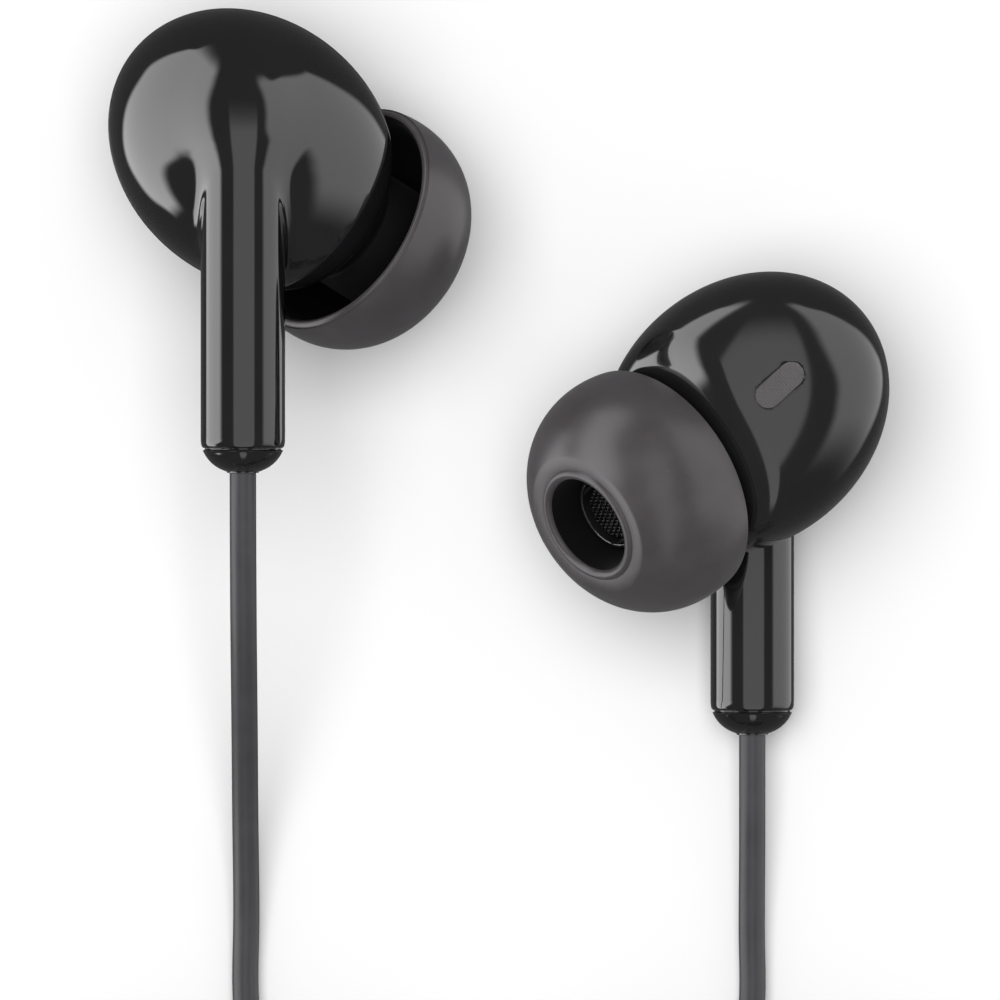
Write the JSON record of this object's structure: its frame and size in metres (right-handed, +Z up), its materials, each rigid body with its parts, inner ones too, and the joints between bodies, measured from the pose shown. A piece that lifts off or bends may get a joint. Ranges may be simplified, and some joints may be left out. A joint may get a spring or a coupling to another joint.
{
  "type": "wired earphones",
  "caption": "Wired in-ear earphones with stemmed oval buds, soft flanged ear tips, a Y cord with in-line control and a slim jack plug, cords wound up.",
  "frame": {"origin": "middle of the underside of the two buds' common box, on the table they lie on", "axes": "+Z up from the table, +Y up the stems of the buds, +X from the face-up bud to the face-down bud"},
  "size_m": [0.0524, 0.1285, 0.0158],
  "materials": {
    "shell": "high-gloss black moulded plastic",
    "inner_shell": "softer satin-gloss black moulded plastic",
    "control_shell": "fine matt black moulded plastic",
    "button": "satin black moulded plastic",
    "silicone": "matt dark brown-grey silicone",
    "relief": "matt black soft plastic",
    "metal_mesh": "fine woven metal",
    "driver_steel": "pressed steel",
    "magnet": "plated magnet",
    "film": "thin polymer film",
    "copper": "enamelled copper wire",
    "cord": "satin dark grey soft jacket",
    "tie": "matt black band",
    "board": "green circuit board",
    "contact": "polished gold plating",
    "insulator": "black moulded insulator"
  },
  "bodies": {
    "earphones": {"left_outer_shell": "shell", "left_inner_shell": "inner_shell", "left_nozzle_screen": "metal_mesh", "left_vent_mesh": "metal_mesh", "left_driver_cup": "driver_steel", "left_driver_magnet": "magnet", "left_driver_top_plate": "driver_steel", "left_stem_cap": "shell", "left_cord_anchor": "driver_steel", "left_lead_wires": "copper", "left_cord": "cord", "left_cord_coil": "cord", "left_cord_tail": "cord", "left_cord_tie": "tie", "right_outer_shell": "shell", "right_inner_shell": "inner_shell", "right_nozzle_screen": "metal_mesh", "right_vent_mesh": "metal_mesh", "right_driver_cup": "driver_steel", "right_driver_magnet": "magnet", "right_driver_top_plate": "driver_steel", "right_stem_cap": "shell", "right_cord_anchor": "driver_steel", "right_lead_wires": "copper", "right_cord": "cord", "right_cord_coil": "cord", "right_cord_tail": "cord", "right_cord_tie": "tie", "branch_relief": "relief", "control_back_shell": "control_shell", "control_front_shell": "control_shell", "control_board": "board", "microphone": "driver_steel", "main_relief": "relief", "main_cord": "cord", "main_cord_coil": "cord", "main_cord_tail": "cord", "main_cord_tie": "tie", "plug_relief": "relief", "plug_body": "control_shell", "plug_sleeve": "contact", "plug_ring_2": "contact", "plug_ring_1": "contact", "plug_insulator": "insulator", "plug_tip": "contact"},
    "left_tip": {"left_ear_tip": "silicone"},
    "left_cone": {"left_driver_diaphragm": "film", "left_driver_voice_coil": "copper"},
    "right_tip": {"right_ear_tip": "silicone"},
    "right_cone": {"right_driver_diaphragm": "film", "right_driver_voice_coil": "copper"},
    "volume_up": {"volume_up_button": "button"},
    "play": {"play_button": "button"},
    "volume_down": {"volume_down_button": "button"}
  },
  "joints": [
    {"name": "left_tip_slide", "type": "slide", "parent": "earphones", "child": "left_tip", "axis": [0.6804, -0.4203, -0.6004], "range_m": [0, 0.0042]},
    {"name": "right_tip_slide", "type": "slide", "parent": "earphones", "child": "right_tip", "axis": [-0.6804, -0.4203, 0.6004], "range_m": [0, 0.0042]},
    {"name": "left_cone_stroke", "type": "slide", "parent": "earphones", "child": "left_cone", "axis": [0, 0, -1], "range_m": [-0.0001, 0.0001], "stiffness_N_per_m": 600},
    {"name": "right_cone_stroke", "type": "slide", "parent": "earphones", "child": "right_cone", "axis": [0, 0, 1], "range_m": [-0.0001, 0.0001], "stiffness_N_per_m": 600},
    {"name": "volume_up_press", "type": "slide", "parent": "earphones", "child": "volume_up", "axis": [0, 0, -1], "range_m": [0, 0.00025], "stiffness_N_per_m": 3000, "springref_m": -0.0001},
    {"name": "play_press", "type": "slide", "parent": "earphones", "child": "play", "axis": [0, 0, -1], "range_m": [0, 0.00025], "stiffness_N_per_m": 3000, "springref_m": -0.0001},
    {"name": "volume_down_press", "type": "slide", "parent": "earphones", "child": "volume_down", "axis": [0, 0, -1], "range_m": [0, 0.00025], "stiffness_N_per_m": 3000, "springref_m": -0.0001}
  ]
}
